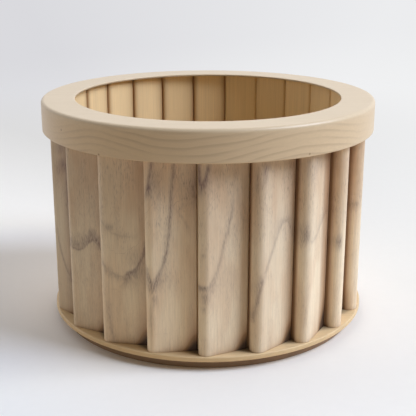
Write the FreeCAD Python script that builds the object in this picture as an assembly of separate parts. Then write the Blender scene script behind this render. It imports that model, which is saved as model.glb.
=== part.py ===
"""Round wooden planter, in millimetres, +Z up, origin on the floor at the centre of the plinth.

Twenty tapered slats stand in a ring, each with a thick rounded end and a thin tail tucked beside the next slat.
They are glued round a coopered drum of flat staves, on a thin base plate over a recessed plinth.
A thick turned ring closes the top, and a drip tray lifts out of the inside.
"""

import FreeCAD, Part
import math
import os

from FreeCAD import Vector

UP = Vector(0, 0, 1)
ORIGIN = Vector(0, 0, 0)
FULL_TURN = 360.0

# Counts and directions
slat_count = 20
stave_count = 24
plinth_screw_count = 8
tray_rib_count = 12
first_slat_angle = -90.5
first_stave_angle = 89.4

# Heights, from the floor up
plinth_height = 11.5
plate_thickness = 6.0
slat_length = 219.0
ring_height = 36.0

# Top ring
opening_radius = 160.0
ring_lip = 2.5
ring_overhang = 7.4
ring_top_round = 4.0
ring_opening_round = 1.0
ring_lip_ease = 0.6
ring_under_ease = 1.0

# Drum of staves
drum_setback = 8.0
stave_thickness = 6.0
stave_edge_round = 3.5

# Slats
slat_nose_radius = 9.0
slat_end_depth = 9.4
slat_tail_thickness = 3.0
slat_tail_round = 1.2
slat_gap = 1.2

# Base plate and plinth
plate_overhang = 1.4
plate_edge_round = 1.2
plinth_recess = 10.0
plinth_edge_ease = 0.8

# Dowels between the slats and the ring
dowel_radius = 3.0
dowel_length = 24.0
dowel_chamfer = 0.8
dowel_hole_spare = 0.6

# Countersunk screws
screw_shank_radius = 1.75
screw_head_radius = 3.5
screw_head_height = 2.2
screw_tip_length = 4.0
screw_slot_width = 0.9
screw_slot_depth = 1.3
slat_screw_length = 25.0
slat_screw_inset = 3.0
plinth_screw_length = 15.5
plinth_screw_inset = 54.0
plinth_screw_sink = 0.3

# Drip tray
tray_height = 32.0
tray_wall = 2.5
tray_rim_width = 4.5
tray_rim_round = 1.0
tray_taper = 6.0
tray_corner_round = 8.0
tray_foot_height = 2.0
tray_foot_width = 6.0
tray_rib_height = 3.0
tray_rib_width = 3.0
tray_hub_radius = 28.0

# Clearances
glue_line = 0.2
stave_joint = 0.1
rebate_clearance = 0.2
hole_clearance = 0.1
tray_seat_gap = 0.3
tray_side_clearance = 10.0
cut_overrun = 2.0

# Derived levels
plate_bottom = plinth_height
plate_top = plate_bottom + plate_thickness
ring_bottom = plate_top + slat_length
ring_top = ring_bottom + ring_height
rebate_top = ring_top - ring_lip
drum_length = rebate_top - rebate_clearance - plate_top

# Derived radii
stave_flat_radius = opening_radius + drum_setback
drum_radius = stave_flat_radius + stave_thickness
slat_back_radius = drum_radius + glue_line
nose_centre_radius = slat_back_radius + slat_end_depth
slat_reach = nose_centre_radius + slat_nose_radius
plate_radius = slat_reach + plate_overhang
plinth_radius = plate_radius - plinth_recess
ring_radius = slat_reach + ring_overhang
rebate_radius = drum_radius + rebate_clearance
slat_screw_radius = nose_centre_radius - slat_screw_inset
plinth_screw_radius = plinth_radius - plinth_screw_inset
tray_radius = opening_radius - tray_side_clearance

# Derived angles
slat_pitch = FULL_TURN / slat_count
stave_pitch = FULL_TURN / stave_count


def turned(point, degrees):
    """A point of the XY plane, turned about the origin."""
    angle = math.radians(degrees)
    x = point[0] * math.cos(angle) - point[1] * math.sin(angle)
    y = point[0] * math.sin(angle) + point[1] * math.cos(angle)
    return (x, y)


def corner(before, here, after, radius):
    """The start, middle and end of the arc that rounds one corner of an outline."""
    towards_before = (before - here).normalize()
    towards_after = (after - here).normalize()
    half_angle = towards_before.getAngle(towards_after) / 2
    tangent_length = radius / math.tan(half_angle)
    to_centre = (towards_before + towards_after).normalize() * (radius / math.sin(half_angle))
    centre = here + to_centre
    start = here + towards_before * tangent_length
    end = here + towards_after * tangent_length
    middle = centre - Vector(to_centre).normalize() * radius
    return start, middle, end


def outline(corners):
    """A closed wire through corners given as (point, radius), with arcs where the radius isn't zero."""
    points = [point for point, radius in corners]
    edges = []
    first = None
    last = None
    for index, (here, radius) in enumerate(corners):
        before = points[index - 1]
        after = points[(index + 1) % len(points)]
        if radius:
            start, middle, end = corner(before, here, after, radius)
        else:
            start = end = here
        if last is None:
            first = start
        else:
            edges.append(Part.LineSegment(last, start).toShape())
        if radius:
            edges.append(Part.Arc(start, middle, end).toShape())
        last = end
    edges.append(Part.LineSegment(last, first).toShape())
    return Part.Wire(edges)


def turned_solid(corners):
    """A solid of revolution about Z, from corners given as (radius from the axis, height, rounding)."""
    section = outline([(Vector(r, 0, z), rounding) for r, z, rounding in corners])
    return Part.Face(section).revolve(ORIGIN, UP, FULL_TURN)


def upright_solid(corners, bottom, length):
    """A solid standing on the level given, from corners given as (x, y, rounding)."""
    section = outline([(Vector(x, y, bottom), rounding) for x, y, rounding in corners])
    return Part.Face(section).extrude(UP * length)


def disc(radius, bottom, thickness, edge_round):
    """A round board with both of its edges eased."""
    top = bottom + thickness
    return turned_solid([(0, bottom, 0), (radius, bottom, edge_round), (radius, top, edge_round), (0, top, 0)])


def placed_at(shape, radius, degrees, height):
    """A copy moved out along X, lifted, and turned about Z."""
    copy = shape.copy()
    copy.translate(Vector(radius, 0, height))
    copy.rotate(ORIGIN, UP, degrees)
    return copy


def slat_angles():
    return [first_slat_angle + slat_pitch * index for index in range(slat_count)]


def stave_angles():
    return [first_stave_angle + stave_pitch * index for index in range(stave_count)]


def plinth_screw_angles():
    return [FULL_TURN / plinth_screw_count * index for index in range(plinth_screw_count)]


def dowel(spare_radius=0.0, spare_length=0.0):
    """A chamfered dowel centred on the origin. The spare sizes turn it into the hole it fits."""
    radius = dowel_radius + spare_radius
    half = dowel_length / 2 + spare_length
    rim = radius - dowel_chamfer
    shoulder = half - dowel_chamfer
    return turned_solid([
        (0, -half, 0), (rim, -half, 0), (radius, -shoulder, 0),
        (radius, shoulder, 0), (rim, half, 0), (0, half, 0),
    ])


def screw(length, spare=0.0):
    """A countersunk screw, head down at the origin. The spare size turns it into the hole it fits."""
    head = screw_head_radius + spare
    shank = screw_shank_radius + spare
    body = turned_solid([
        (0, 0, 0), (head, 0, 0), (shank, screw_head_height + spare, 0),
        (shank, length - screw_tip_length, 0), (0, length + spare, 0),
    ])
    if spare:
        return body
    for degrees in (0, 90):
        slot = Part.makeBox(
            screw_head_radius, screw_slot_width, screw_slot_depth,
            Vector(-screw_head_radius / 2, -screw_slot_width / 2, 0),
        )
        slot.rotate(ORIGIN, UP, degrees)
        body = body.cut(slot)
    return body


def make_top_ring():
    ring = turned_solid([
        (opening_radius, rebate_top, ring_lip_ease),
        (opening_radius, ring_top, ring_opening_round),
        (ring_radius, ring_top, ring_top_round),
        (ring_radius, ring_bottom, ring_under_ease),
        (rebate_radius, ring_bottom, 0),
        (rebate_radius, rebate_top, 0),
    ])
    hole = dowel(hole_clearance, dowel_hole_spare)
    holes = [placed_at(hole, nose_centre_radius, angle, ring_bottom) for angle in slat_angles()]
    return ring.cut(holes)


def slat_corners():
    """The section of a slat whose rounded end lies on the X axis, its tail towards +Y."""
    side = slat_nose_radius + slat_gap
    tail_radius = slat_back_radius + slat_tail_thickness
    tail_tip = turned((math.sqrt(tail_radius ** 2 - side ** 2), -side), slat_pitch)
    tail_foot = turned((drum_radius - cut_overrun, -side), slat_pitch)
    # The outer face leaves the tail's tip and touches the circle of the rounded end.
    run_x = nose_centre_radius - tail_tip[0]
    run_y = -tail_tip[1]
    distance = math.hypot(run_x, run_y)
    direction = math.atan2(run_y, run_x) + math.asin(slat_nose_radius / distance)
    to_edge = (-slat_nose_radius - tail_tip[1]) / math.sin(direction)
    shoulder_x = tail_tip[0] + to_edge * math.cos(direction)
    return [
        (drum_radius - cut_overrun, -slat_nose_radius, 0),
        (shoulder_x, -slat_nose_radius, slat_nose_radius),
        (tail_tip[0], tail_tip[1], slat_tail_round),
        (tail_foot[0], tail_foot[1], 0),
    ]


def make_slat():
    slat = upright_solid(slat_corners(), plate_top, slat_length)
    slat = slat.cut(Part.makeCylinder(slat_back_radius, ring_top))
    slat = slat.cut(placed_at(dowel(hole_clearance, dowel_hole_spare), nose_centre_radius, 0, ring_bottom))
    return slat.cut(placed_at(screw(slat_screw_length, hole_clearance), slat_screw_radius, 0, plate_bottom))


def make_stave():
    """A stave on the X axis: flat inside with eased edges, turned round outside, its sides on radial planes."""
    half_turn = math.radians(stave_pitch / 2)
    slope = math.tan(half_turn)
    side = stave_joint / 2 / math.cos(half_turn)
    outside = drum_radius + cut_overrun
    inner_half = stave_flat_radius * slope - side
    outer_half = outside * slope - side
    stave = upright_solid([
        (stave_flat_radius, -inner_half, stave_edge_round), (outside, -outer_half, 0),
        (outside, outer_half, 0), (stave_flat_radius, inner_half, stave_edge_round),
    ], plate_top, drum_length)
    return stave.common(Part.makeCylinder(drum_radius, ring_top))


def make_base_plate():
    plate = disc(plate_radius, plate_bottom, plate_thickness, plate_edge_round)
    slat_hole = screw(slat_screw_length, hole_clearance)
    plinth_hole = screw(plinth_screw_length, hole_clearance)
    holes = [placed_at(slat_hole, slat_screw_radius, angle, plate_bottom) for angle in slat_angles()]
    holes += [placed_at(plinth_hole, plinth_screw_radius, a, plinth_screw_sink) for a in plinth_screw_angles()]
    return plate.cut(holes)


def make_plinth():
    plinth = disc(plinth_radius, 0, plinth_height, plinth_edge_ease)
    sink = Part.makeCylinder(screw_head_radius + hole_clearance, plinth_screw_sink)
    hole = screw(plinth_screw_length, hole_clearance)
    hole.translate(UP * plinth_screw_sink)
    hole = hole.fuse(sink)
    return plinth.cut([placed_at(hole, plinth_screw_radius, angle, 0) for angle in plinth_screw_angles()])


def make_drip_tray():
    """A tapered tray with a turned-out rim, a foot ring under it and ribs that hold a pot clear of the water."""
    seat = plate_top + tray_seat_gap
    underside = seat + tray_foot_height
    floor = underside + tray_wall
    rim_top = seat + tray_height
    rim_under = rim_top - tray_wall
    wall_top_outside = tray_radius - tray_rim_width
    wall_foot_outside = wall_top_outside - tray_taper
    shell = turned_solid([
        (0, underside, 0),
        (wall_foot_outside - tray_foot_width * 2, underside, 0),
        (wall_foot_outside - tray_foot_width * 2, seat, 0),
        (wall_foot_outside - tray_foot_width, seat, 0),
        (wall_foot_outside - tray_foot_width, underside, 0),
        (wall_foot_outside, underside, tray_wall),
        (wall_top_outside, rim_under, tray_rim_round),
        (tray_radius, rim_under, tray_rim_round),
        (tray_radius, rim_top, tray_rim_round),
        (wall_top_outside - tray_wall, rim_top, tray_rim_round),
        (wall_foot_outside - tray_wall, floor, tray_corner_round),
        (0, floor, 0),
    ])
    rib_end = wall_foot_outside - tray_wall - tray_corner_round
    rib = Part.makeBox(
        rib_end - tray_hub_radius, tray_rib_width, tray_rib_height + tray_wall / 2,
        Vector(tray_hub_radius, -tray_rib_width / 2, floor - tray_wall / 2),
    )
    ribs = [placed_at(rib, 0, FULL_TURN / tray_rib_count * index, 0) for index in range(tray_rib_count)]
    return shell.fuse(ribs).removeSplitter()


def make_slat_dowels():
    return Part.Compound([placed_at(dowel(), nose_centre_radius, angle, ring_bottom) for angle in slat_angles()])


def make_slat_screws():
    piece = screw(slat_screw_length)
    return Part.Compound([placed_at(piece, slat_screw_radius, angle, plate_bottom) for angle in slat_angles()])


def make_plinth_screws():
    piece = screw(plinth_screw_length)
    angles = plinth_screw_angles()
    return Part.Compound([placed_at(piece, plinth_screw_radius, a, plinth_screw_sink) for a in angles])


def make_all():
    nodes = {
        "top_ring": make_top_ring(),
        "base_plate": make_base_plate(),
        "plinth": make_plinth(),
        "drip_tray": make_drip_tray(),
        "slat_dowels": make_slat_dowels(),
        "slat_screws": make_slat_screws(),
        "plinth_screws": make_plinth_screws(),
    }
    slat = make_slat()
    for number, angle in enumerate(slat_angles(), 1):
        nodes[f"slat_{number:02d}"] = placed_at(slat, 0, angle, 0)
    stave = make_stave()
    for number, angle in enumerate(stave_angles(), 1):
        nodes[f"stave_{number:02d}"] = placed_at(stave, 0, angle, 0)
    return nodes


def main():
    os.makedirs("parts", exist_ok=True)
    for name, shape in make_all().items():
        shape.exportStep(f"parts/{name}.step")
        box = shape.BoundBox
        print(name, len(shape.Solids), "solids", shape.isValid(), round(shape.Volume),
              [round(v, 2) for v in (box.XMin, box.YMin, box.ZMin, box.XMax, box.YMax, box.ZMax)])


main()
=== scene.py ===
"""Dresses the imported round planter: a maple ring over twenty limed slats, glued round a drum of staves.

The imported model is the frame. Each operator makes one piece, or a group of like pieces, in its place.
"""

import math
import random

import bmesh
import bpy
import numpy as np
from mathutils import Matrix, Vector


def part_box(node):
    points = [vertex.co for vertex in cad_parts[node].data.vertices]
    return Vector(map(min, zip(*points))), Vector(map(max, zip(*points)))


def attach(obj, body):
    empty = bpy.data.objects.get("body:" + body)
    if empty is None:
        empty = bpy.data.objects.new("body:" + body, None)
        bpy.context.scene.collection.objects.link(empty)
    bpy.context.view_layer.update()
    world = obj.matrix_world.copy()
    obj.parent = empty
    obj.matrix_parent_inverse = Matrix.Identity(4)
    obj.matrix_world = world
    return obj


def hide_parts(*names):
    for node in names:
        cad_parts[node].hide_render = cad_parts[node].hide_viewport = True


bl_info = {
    "name": "Round Slatted Planter",
    "version": (1, 0, 0),
    "blender": (4, 5, 0),
    "location": "3D View > Sidebar > Planter",
    "description": "Makes a round wooden planter of tapered slats, its drip tray and a plain studio",
    "category": "Add Mesh",
}

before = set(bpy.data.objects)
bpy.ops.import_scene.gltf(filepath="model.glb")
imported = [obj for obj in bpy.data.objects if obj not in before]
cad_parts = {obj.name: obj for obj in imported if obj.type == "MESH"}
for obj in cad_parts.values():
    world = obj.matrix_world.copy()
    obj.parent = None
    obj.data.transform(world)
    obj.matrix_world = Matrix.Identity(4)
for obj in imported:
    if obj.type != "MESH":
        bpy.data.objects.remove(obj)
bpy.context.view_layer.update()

MM = 0.001
FULL_TURN = 2 * math.pi

ring_low, ring_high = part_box("top_ring")
slat_low, slat_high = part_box("slat_01")
stave_low, stave_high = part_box("stave_01")
plate_low, plate_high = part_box("base_plate")
plinth_low, plinth_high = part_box("plinth")
tray_low, tray_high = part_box("drip_tray")
slat_nodes = sorted(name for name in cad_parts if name.startswith("slat_") and name[5:].isdigit())
stave_nodes = sorted(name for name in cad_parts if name.startswith("stave_"))

# Where the first slat's rounded end and the middle of the first stave lie, in degrees from +X
FIRST_SLAT = -90.5
FIRST_STAVE = 89.4

# The part of a noise's range that a slope spreads over its results
WIDE = (0.25, 0.75)
NARROW = (0.3, 0.7)
WHITE = (1.0, 1.0, 1.0)


def length(name, description, default):
    return bpy.props.FloatProperty(name=name, description=description, default=default, unit="LENGTH")


def colour(name, description, default):
    return bpy.props.FloatVectorProperty(
        name=name, description=description, default=default, size=3, min=0, max=1, subtype="COLOR")


def share(name, description, default):
    return bpy.props.FloatProperty(
        name=name, description=description, default=default, min=0, max=1, subtype="FACTOR")


def count(name, description, default):
    return bpy.props.IntProperty(name=name, description=description, default=default, min=3)


class PlanterSizes(bpy.types.PropertyGroup):
    """Sizes of the planter's pieces."""
    ring_radius: length("Ring Radius", "Outside radius of the top ring", ring_high.x)
    opening_radius: length("Opening Radius", "Radius of the opening in the top ring", 160 * MM)
    ring_bottom: length("Ring Underside", "Height of the top ring's underside", ring_low.z)
    ring_top: length("Ring Top", "Height of the top ring's upper face", ring_high.z)
    ring_lip: length("Ring Lip", "Thickness of the ring over the staves", 2.5 * MM)
    rebate_radius: length("Rebate Radius", "Radius of the rebate that takes the staves", 174.2 * MM)
    ring_round: length("Ring Rounding", "Rounding of the ring's outer upper edge", 4 * MM)
    slat_count: count("Slats", "Number of slats round the drum", len(slat_nodes))
    slat_back_radius: length("Slat Back Radius", "Radius of the hollow back of a slat", 174.2 * MM)
    nose_radius: length("Nose Radius", "Radius of a slat's thick rounded end", 9 * MM)
    nose_centre: length("Nose Centre", "Distance of the rounded end's centre from the axis", 183.6 * MM)
    tail_thickness: length("Tail Thickness", "Thickness of a slat's thin end", 3 * MM)
    tail_round: length("Tail Rounding", "Rounding of the outer edge of a slat's thin end", 1.2 * MM)
    slat_gap: length("Slat Gap", "Gap between one slat's tail and the next slat's nose", 1.2 * MM)
    stave_count: count("Staves", "Number of staves in the drum", len(stave_nodes))
    stave_flat: length("Stave Face Radius", "Distance of a stave's flat face from the axis", 168 * MM)
    stave_round: length("Stave Rounding", "Rounding of a stave's edges at the seams", 3.5 * MM)
    drum_radius: length("Drum Radius", "Outside radius of the drum of staves", 174 * MM)
    plate_radius: length("Plate Radius", "Radius of the thin base plate", plate_high.x)
    plinth_radius: length("Plinth Radius", "Radius of the recessed plinth", plinth_high.x)
    slat_screw_radius: length("Slat Screw Radius", "Distance of the slats' screws from the axis", 180.6 * MM)
    slat_screw_length: length("Slat Screw Length", "Length of the slats' screws", 25 * MM)
    plinth_screw_count: count("Plinth Screws", "Number of screws in the plinth", 8)
    plinth_screw_radius: length("Plinth Screw Radius", "Radius of the circle of plinth screws", 130 * MM)
    plinth_screw_length: length("Plinth Screw Length", "Length of the plinth's screws", 15.5 * MM)
    tray_radius: length("Tray Radius", "Radius of the drip tray's rim", tray_high.x)


class PlanterFinish(bpy.types.PropertyGroup):
    """Colours of the planter's finishes."""
    ring_maple: colour("Ring Maple", "Pale maple of the top ring", (0.735, 0.585, 0.40))
    ring_line: colour("Ring Grain", "Grey-brown grain lines of the top ring", (0.33, 0.205, 0.115))
    slat_pale: colour("Slat Pale", "Limed wood of the slats", (0.845, 0.725, 0.55))
    slat_warm: colour("Slat Warm", "Warmer patches of the slats", (0.68, 0.47, 0.30))
    slat_grey: colour("Slat Grey", "Greyish patches of the slats", (0.62, 0.51, 0.40))
    slat_ink: colour("Slat Marks", "Purple-grey marks that run through the slats", (0.15, 0.085, 0.092))
    # The crevice colour is the painted shade at its darkest, in the corners between the slats
    painted_crevice_shade: colour("Crevice", "Old stain in the corners between the slats", (0.030, 0.012, 0.004))
    stave_maple: colour("Stave Maple", "Warm maple of the staves", (0.95, 0.71, 0.40))
    # The seam colour is a brown stain together with painted shade
    stave_seam_stain_and_shade: colour("Stave Seam", "Brown stain in the seams between the staves", (0.32, 0.155, 0.055))
    plate_maple: colour("Plate Maple", "Yellowish maple of the base plate", (0.77, 0.575, 0.335))
    # The corner colour is painted shade on the base plate's top, between the slats
    painted_corner_shade: colour("Painted Corner Shade", "Old stain on the base plate's top", (0.030, 0.014, 0.004))
    plinth_brown: colour("Plinth Brown", "Brown stain of the plinth", (0.33, 0.22, 0.14))
    dowel_beech: colour("Dowel Beech", "Plain beech of the dowels", (0.62, 0.44, 0.28))
    screw_zinc: colour("Screw Zinc", "Zinc plating of the screws", (0.56, 0.56, 0.54))
    tray_black: colour("Tray Black", "Matt black of the drip tray", (0.022, 0.022, 0.023))
    mark_strength: share("Mark Strength", "How strongly the marks show on the slats", 1.0)


class Bench:
    """Adds nodes to one tree and joins them."""

    def __init__(self, tree):
        self.tree = tree

    def node(self, kind, inputs=None, **settings):
        made = self.tree.nodes.new(kind)
        for name, value in settings.items():
            setattr(made, name, value)
        for key, value in (inputs or {}).items():
            self.feed(made.inputs[key], value)
        return made

    def feed(self, socket, value):
        if isinstance(value, bpy.types.NodeSocket):
            self.tree.links.new(value, socket)
        elif value is not None:
            socket.default_value = value

    def math(self, operation, *values):
        return self.node("ShaderNodeMath", dict(enumerate(values)), operation=operation).outputs[0]

    def plus(self, first, second):
        return self.math("ADD", first, second)

    def minus(self, first, second):
        return self.math("SUBTRACT", first, second)

    def times(self, first, second):
        return self.math("MULTIPLY", first, second)

    def over(self, first, second):
        return self.math("DIVIDE", first, second)

    def vector(self, operation, *values):
        made = self.node("ShaderNodeVectorMath", dict(enumerate(values)), operation=operation)
        return made.outputs["Value" if operation in ("LENGTH", "DISTANCE", "DOT_PRODUCT") else "Vector"]

    def scaled(self, vector, factor):
        """A place or a colour with each of its three parts times the factor."""
        return self.vector("SCALE", vector, None, None, factor)

    def parts(self, vector):
        return self.node("ShaderNodeSeparateXYZ", {0: vector}).outputs

    def round_axis(self, radius, angle, height):
        """The place at a radius, an angle and a height round the Z axis."""
        along_x = self.times(radius, self.math("COSINE", angle))
        along_y = self.times(radius, self.math("SINE", angle))
        return self.node("ShaderNodeCombineXYZ", {0: along_x, 1: along_y, 2: height}).outputs[0]

    def noise(self, place, stretch, detail=2.0, roughness=0.5):
        """Soft noise round 0.5. The stretch is how fast it changes along each axis."""
        stretched = self.vector("MULTIPLY", place, stretch)
        inputs = {"Vector": stretched, "Scale": 1.0, "Detail": detail, "Roughness": roughness}
        return self.node("ShaderNodeTexNoise", inputs).outputs[0]

    def rise(self, value, low, high, bottom=0.0, top=1.0):
        """A smooth step from bottom to top while the value goes from low to high."""
        inputs = {0: value, 1: low, 2: high, 3: bottom, 4: top}
        return self.node("ShaderNodeMapRange", inputs, interpolation_type="SMOOTHSTEP").outputs[0]

    def slope(self, value, low, high, bottom, top):
        """A straight way from bottom to top while the value goes from low to high."""
        return self.node("ShaderNodeMapRange", {0: value, 1: low, 2: high, 3: bottom, 4: top}).outputs[0]

    def mix(self, factor, first, second):
        """The first colour where the factor is 0, and the second where it is 1."""
        inputs = {0: factor, 6: shade(first), 7: shade(second)}
        return self.node("ShaderNodeMix", inputs, data_type="RGBA").outputs[2]


def shade(value):
    """A colour with its alpha, or the socket it comes from."""
    if isinstance(value, bpy.types.NodeSocket):
        return value
    return (*value, 1.0)


def new_material(name):
    material = bpy.data.materials.new(name)
    material.use_nodes = True
    material.node_tree.nodes.clear()
    return material, Bench(material.node_tree)


def finish_surface(bench, base, roughness, relief, depth, specular=0.5, metallic=0.0):
    """Joins a colour, a roughness and a relief to the surface shader."""
    bump = bench.node("ShaderNodeBump", {"Strength": 1.0, "Distance": depth, "Height": relief})
    shader = bench.node("ShaderNodeBsdfPrincipled", {
        "Base Color": base, "Roughness": roughness, "Normal": bump.outputs[0], "Metallic": metallic,
        "Specular IOR Level": specular,
    })
    bench.node("ShaderNodeOutputMaterial", {"Surface": shader.outputs[0]})


def object_place(bench):
    return bench.node("ShaderNodeTexCoord").outputs["Object"]


def object_millimetres(bench):
    return bench.scaled(object_place(bench), 1 / MM)


def board_millimetres(bench):
    """Each point in its own board's frame, so that no two boards have the same grain."""
    return bench.node("ShaderNodeAttribute", attribute_name="board").outputs["Vector"]


def attribute(bench, name):
    return bench.node("ShaderNodeAttribute", attribute_name=name).outputs["Fac"]


def each_times(values, factor):
    return tuple(value * factor for value in values)


def slat_material(finish):
    """Limed wood with long fibres, broad patches, flecks and purple-grey marks that bleed to one side."""
    material, bench = new_material("limed_slat_wood")
    board = board_millimetres(bench)
    height = bench.parts(object_place(bench))[2]
    broad = bench.noise(board, (0.045, 0.045, 0.014), detail=3.0)
    cloudy = bench.noise(board, (0.07, 0.07, 0.022), detail=4.0, roughness=0.6)
    streak = bench.noise(board, (0.45, 0.45, 0.016), detail=4.0, roughness=0.55)
    fibre = bench.noise(board, (2.0, 2.0, 0.05))
    pores = bench.noise(board, (1.5, 1.5, 0.18))

    # Warmer in patches and towards the top, and greyer in others
    warm_patches = bench.rise(broad, 0.38, 0.68, 0.0, 0.38)
    warm_top = bench.rise(height, 0.11, 0.23, 0.0, 0.44)
    base = bench.mix(bench.plus(warm_patches, warm_top), finish.slat_pale, finish.slat_warm)
    base = bench.mix(bench.rise(cloudy, 0.50, 0.72, 0.0, 0.24), base, finish.slat_grey)
    base = bench.scaled(base, bench.slope(streak, *WIDE, 0.93, 1.06))
    base = bench.scaled(base, bench.slope(fibre, *WIDE, 0.93, 1.07))
    # Painted shade and light: darker towards the top, under the ring, and lighter at the foot
    painted_height_shade = bench.rise(height, 0.09, 0.24, 1.055, 0.93)
    base = bench.scaled(base, bench.times(attribute(bench, "tone"), painted_height_shade))

    # Dark flecks in the pores, more of them higher up
    upper = bench.times(bench.rise(height, 0.10, 0.22, 0.25, 1.0), bench.rise(cloudy, 0.40, 0.60))
    fleck_ink = bench.math("MULTIPLY_ADD", upper, 0.38, 0.05)
    base = bench.mix(bench.times(bench.rise(pores, 0.50, 0.72), fleck_ink), base, finish.slat_ink)

    # The marks: a thin line that wanders a little, and the stain round it
    wander = bench.times(bench.minus(bench.noise(board, (0.30, 0.30, 0.12), detail=3.0), 0.5), 2.0)
    gap = bench.math("ABSOLUTE", bench.plus(attribute(bench, "line_gap"), wander))
    line_ink = bench.times(attribute(bench, "line_ink"), bench.slope(pores, *NARROW, 0.45, 1.1))
    line = bench.times(bench.rise(gap, 0.1, 3.3, 0.95, 0.0), line_ink)
    stain = bench.times(attribute(bench, "stain"), bench.slope(pores, *NARROW, 0.6, 1.9))
    ink = bench.math("MAXIMUM", line, stain)
    base = bench.mix(bench.times(ink, finish.mark_strength), base, finish.slat_ink)

    # Painted shade in the crevices, brown at first and nearly black at its deepest
    painted_crevice_shade = attribute(bench, "painted_crevice_shade")
    shaded_brown = bench.vector("MULTIPLY", base, (0.50, 0.36, 0.27))
    base = bench.mix(bench.slope(painted_crevice_shade, 0.0, 0.6, 0.0, 1.0), base, shaded_brown)
    base = bench.mix(bench.slope(painted_crevice_shade, 0.5, 1.0, 0.0, 1.0), base, finish.painted_crevice_shade)

    relief = bench.plus(bench.times(fibre, 0.5), streak)
    finish_surface(bench, base, bench.slope(streak, *WIDE, 0.62, 0.50), relief, 0.20 * MM)
    return material


# How the ring's growth layers wave: from one place across the planter to another they drop by so much, in mm
RING_WAVES = ((-196, -124, -13.0), (-124, -40, 13.0), (-40, 123, -19.0), (123, 200, 13.0))
RING_LAYER = 7.4
RING_KNOTS = ((-114.7, -163.8, 237.6), (106.0, -169.6, 239.8), (-160.1, -119.8, 254.5))


def ring_material(finish):
    """Pale maple sawn from one blank. Its growth layers wave across the planter, with a few pin knots."""
    material, bench = new_material("ring_maple")
    place = object_millimetres(bench)
    across, inwards, height = bench.parts(place)
    layers = bench.plus(height, bench.times(inwards, 0.05))
    for start, end, drop in RING_WAVES:
        layers = bench.plus(layers, bench.rise(across, start, end, 0.0, drop))
    layers = bench.plus(layers, bench.times(bench.noise(place, (0.009, 0.010, 0.014)), 18.0))

    # Each layer darkens slowly up to a sharp edge. The lines fade in patches, on the top and at both ends
    layer = bench.math("FRACT", bench.over(layers, RING_LAYER))
    dark_edge = bench.times(bench.rise(layer, 0.40, 0.86), bench.rise(layer, 0.86, 1.0, 1.0, 0.0))
    patchy = bench.rise(bench.noise(place, (0.006, 0.006, 0.07)), 0.36, 0.60, 0.12, 1.0)
    inland = bench.rise(bench.math("ABSOLUTE", across), 130.0, 185.0, 1.0, 0.12)
    on_side = bench.rise(height, 266.0, 271.5, 1.0, 0.12)
    lines = bench.times(bench.times(dark_edge, patchy), bench.times(inland, on_side))

    # Painted shade: the side is a little darker and warmer than the top
    on_top = bench.rise(height, 262.0, 271.0)
    base = bench.mix(on_top, each_times(finish.ring_maple, 0.98), finish.ring_maple)
    base = bench.vector("MULTIPLY", base, bench.mix(on_top, (1.0, 0.965, 0.915), WHITE))
    base = bench.mix(bench.times(lines, 0.26), base, finish.ring_line)
    streak = bench.noise(place, (0.012, 0.30, 0.5), detail=3.0)
    fibre = bench.noise(place, (0.08, 1.8, 1.8))
    base = bench.scaled(base, bench.slope(streak, *WIDE, 0.97, 1.03))
    base = bench.scaled(base, bench.slope(fibre, *WIDE, 0.98, 1.02))
    for spot in RING_KNOTS:
        knot = bench.rise(bench.vector("DISTANCE", place, spot), 0.5, 1.8, 0.75, 0.0)
        base = bench.mix(knot, base, finish.ring_line)
    finish_surface(bench, base, bench.slope(streak, *NARROW, 0.38, 0.33), fibre, 0.06 * MM)
    return material


def clean_wood(name, pale, darkest, stretch, place_from=object_millimetres, last_step=None):
    """Clean straight-grained maple or beech. The darkest patches are a share of the pale colour.

    The stretch is how fast the grain changes along each axis, per mm. The last step may stain the wood."""
    material, bench = new_material(name)
    place = place_from(bench)
    broad = bench.noise(place, each_times(stretch, 0.12))
    streak = bench.noise(place, stretch, detail=4.0, roughness=0.6)
    fibre = bench.noise(place, each_times(stretch, 5.0))
    base = bench.mix(bench.rise(broad, 0.35, 0.7, 0.0, 0.45), pale, each_times(pale, darkest))
    base = bench.scaled(base, bench.slope(streak, *WIDE, 0.92, 1.07))
    base = bench.scaled(base, bench.slope(fibre, *WIDE, 0.97, 1.03))
    if last_step:
        base = last_step(bench, base)
    finish_surface(bench, base, bench.slope(streak, *NARROW, 0.55, 0.45), fibre, 0.10 * MM, specular=0.45)
    return material


def stave_material(finish):
    """Warm maple, each stave with its own brightness, painted shade on the right-hand staves, painted light
    on the drum's outside, and seams of brown stain and painted shade.
    """
    def stain_and_shade_seams(bench, base):
        base = bench.scaled(base, attribute(bench, "tone"))
        return bench.mix(attribute(bench, "seam"), base, finish.stave_seam_stain_and_shade)

    grain = (0.5, 0.5, 0.008)
    return clean_wood("stave_maple", finish.stave_maple, 0.86, grain, board_millimetres, stain_and_shade_seams)


def plate_material(finish):
    """Yellowish maple, with painted shade in the corners between the slats.

    It lies close to the drum, and behind each slat's rounded end. It is weaker at the right, where the lamp's
    light falls."""
    def paint_corner_shade(bench, base):
        place = object_millimetres(bench)
        parts = bench.parts(place)
        turn = bench.minus(bench.math("ARCTAN2", parts[1], parts[0]), math.radians(FIRST_SLAT))
        slats_passed = bench.over(bench.plus(turn, 2 * FULL_TURN), FULL_TURN / len(slat_nodes))
        radius = bench.vector("LENGTH", bench.vector("MULTIPLY", place, (1.0, 1.0, 0.0)))
        reach = bench.slope(bench.math("FRACT", slats_passed), 0.45, 0.86, 176.0, 189.0)
        corner = bench.rise(bench.minus(reach, radius), -3.0, 5.0)
        # Less painted shade at the right, where the lamp's light falls
        less_at_right = bench.slope(parts[0], 20.0, 120.0, 0.74, 0.40)
        return bench.mix(bench.times(corner, less_at_right), base, finish.painted_corner_shade)

    return clean_wood("plate_maple", finish.plate_maple, 0.86, (0.010, 0.35, 0.9), last_step=paint_corner_shade)


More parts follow.
